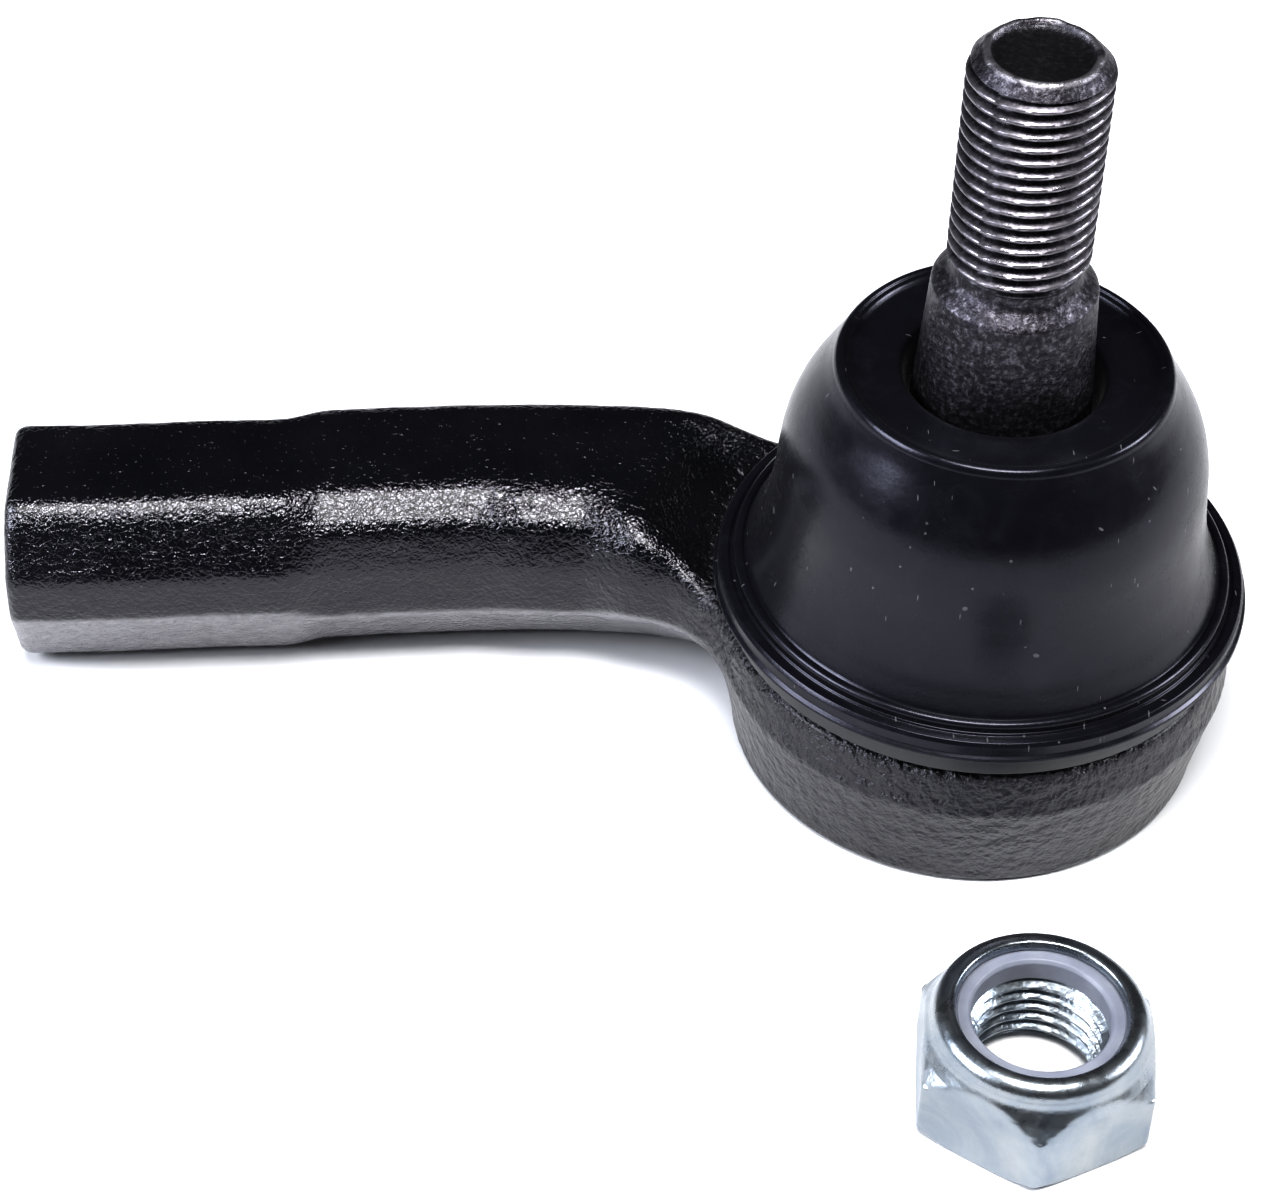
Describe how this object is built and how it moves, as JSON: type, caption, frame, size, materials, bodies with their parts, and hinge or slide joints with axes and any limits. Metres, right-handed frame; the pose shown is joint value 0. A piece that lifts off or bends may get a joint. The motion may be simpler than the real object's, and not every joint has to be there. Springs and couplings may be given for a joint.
{
  "type": "tie rod end",
  "caption": "Steering tie rod end: ball stud in a forged housing with an offset, internally threaded arm, sealed rubber boot and loose lock nut.",
  "frame": {"origin": "on the stud axis, in the plane of the housing's base", "axes": "+Z along the stud, out of the boot; the threaded arm runs towards -X and is offset towards +Y"},
  "size_m": [0.1106, 0.0795, 0.0733],
  "materials": {
    "housing_paint": "gloss black paint over a rough forged skin",
    "cap_plate": "zinc-plated pressed steel",
    "spring_steel": "oiled spring steel",
    "seat_polymer": "moulded acetal",
    "stud_steel": "dark phosphated steel, bright on worn crests",
    "ring_paint": "satin black paint on smooth steel",
    "boot_rubber": "satin moulded rubber",
    "nut_zinc": "bright zinc plate",
    "insert_polymer": "milky nylon"
  },
  "bodies": {
    "housing": {"forged_housing": "housing_paint", "end_cap": "cap_plate", "preload_spring": "spring_steel", "boot_base_ring": "ring_paint"},
    "ball_seat": {"lower_ball_seat": "seat_polymer", "upper_ball_seat": "seat_polymer", "dust_boot": "boot_rubber"},
    "boot_neck": {"boot_neck_clip": "spring_steel"},
    "stud": {"ball_stud": "stud_steel"},
    "loose_nut": {"lock_nut": "nut_zinc", "lock_nut_insert": "insert_polymer"}
  },
  "joints": [
    {"name": "stud_azimuth", "type": "hinge", "parent": "housing", "child": "ball_seat", "pos_m": [0, 0, 0.0152], "axis": [0, 0, 1], "continuous": true},
    {"name": "stud_tilt", "type": "hinge", "parent": "ball_seat", "child": "boot_neck", "pos_m": [0, 0, 0.0152], "axis": [0, 1, 0], "range_deg": [-22, 22], "deforming": ["dust_boot"]},
    {"name": "stud_spin", "type": "hinge", "parent": "boot_neck", "child": "stud", "pos_m": [0, 0, 0.0152], "axis": [0, 0, 1], "continuous": true},
    {"name": "lock_nut_lift", "type": "slide", "parent": "housing", "child": "loose_nut", "axis": [0, 0, 1], "range_m": [0, 0.08]}
  ]
}
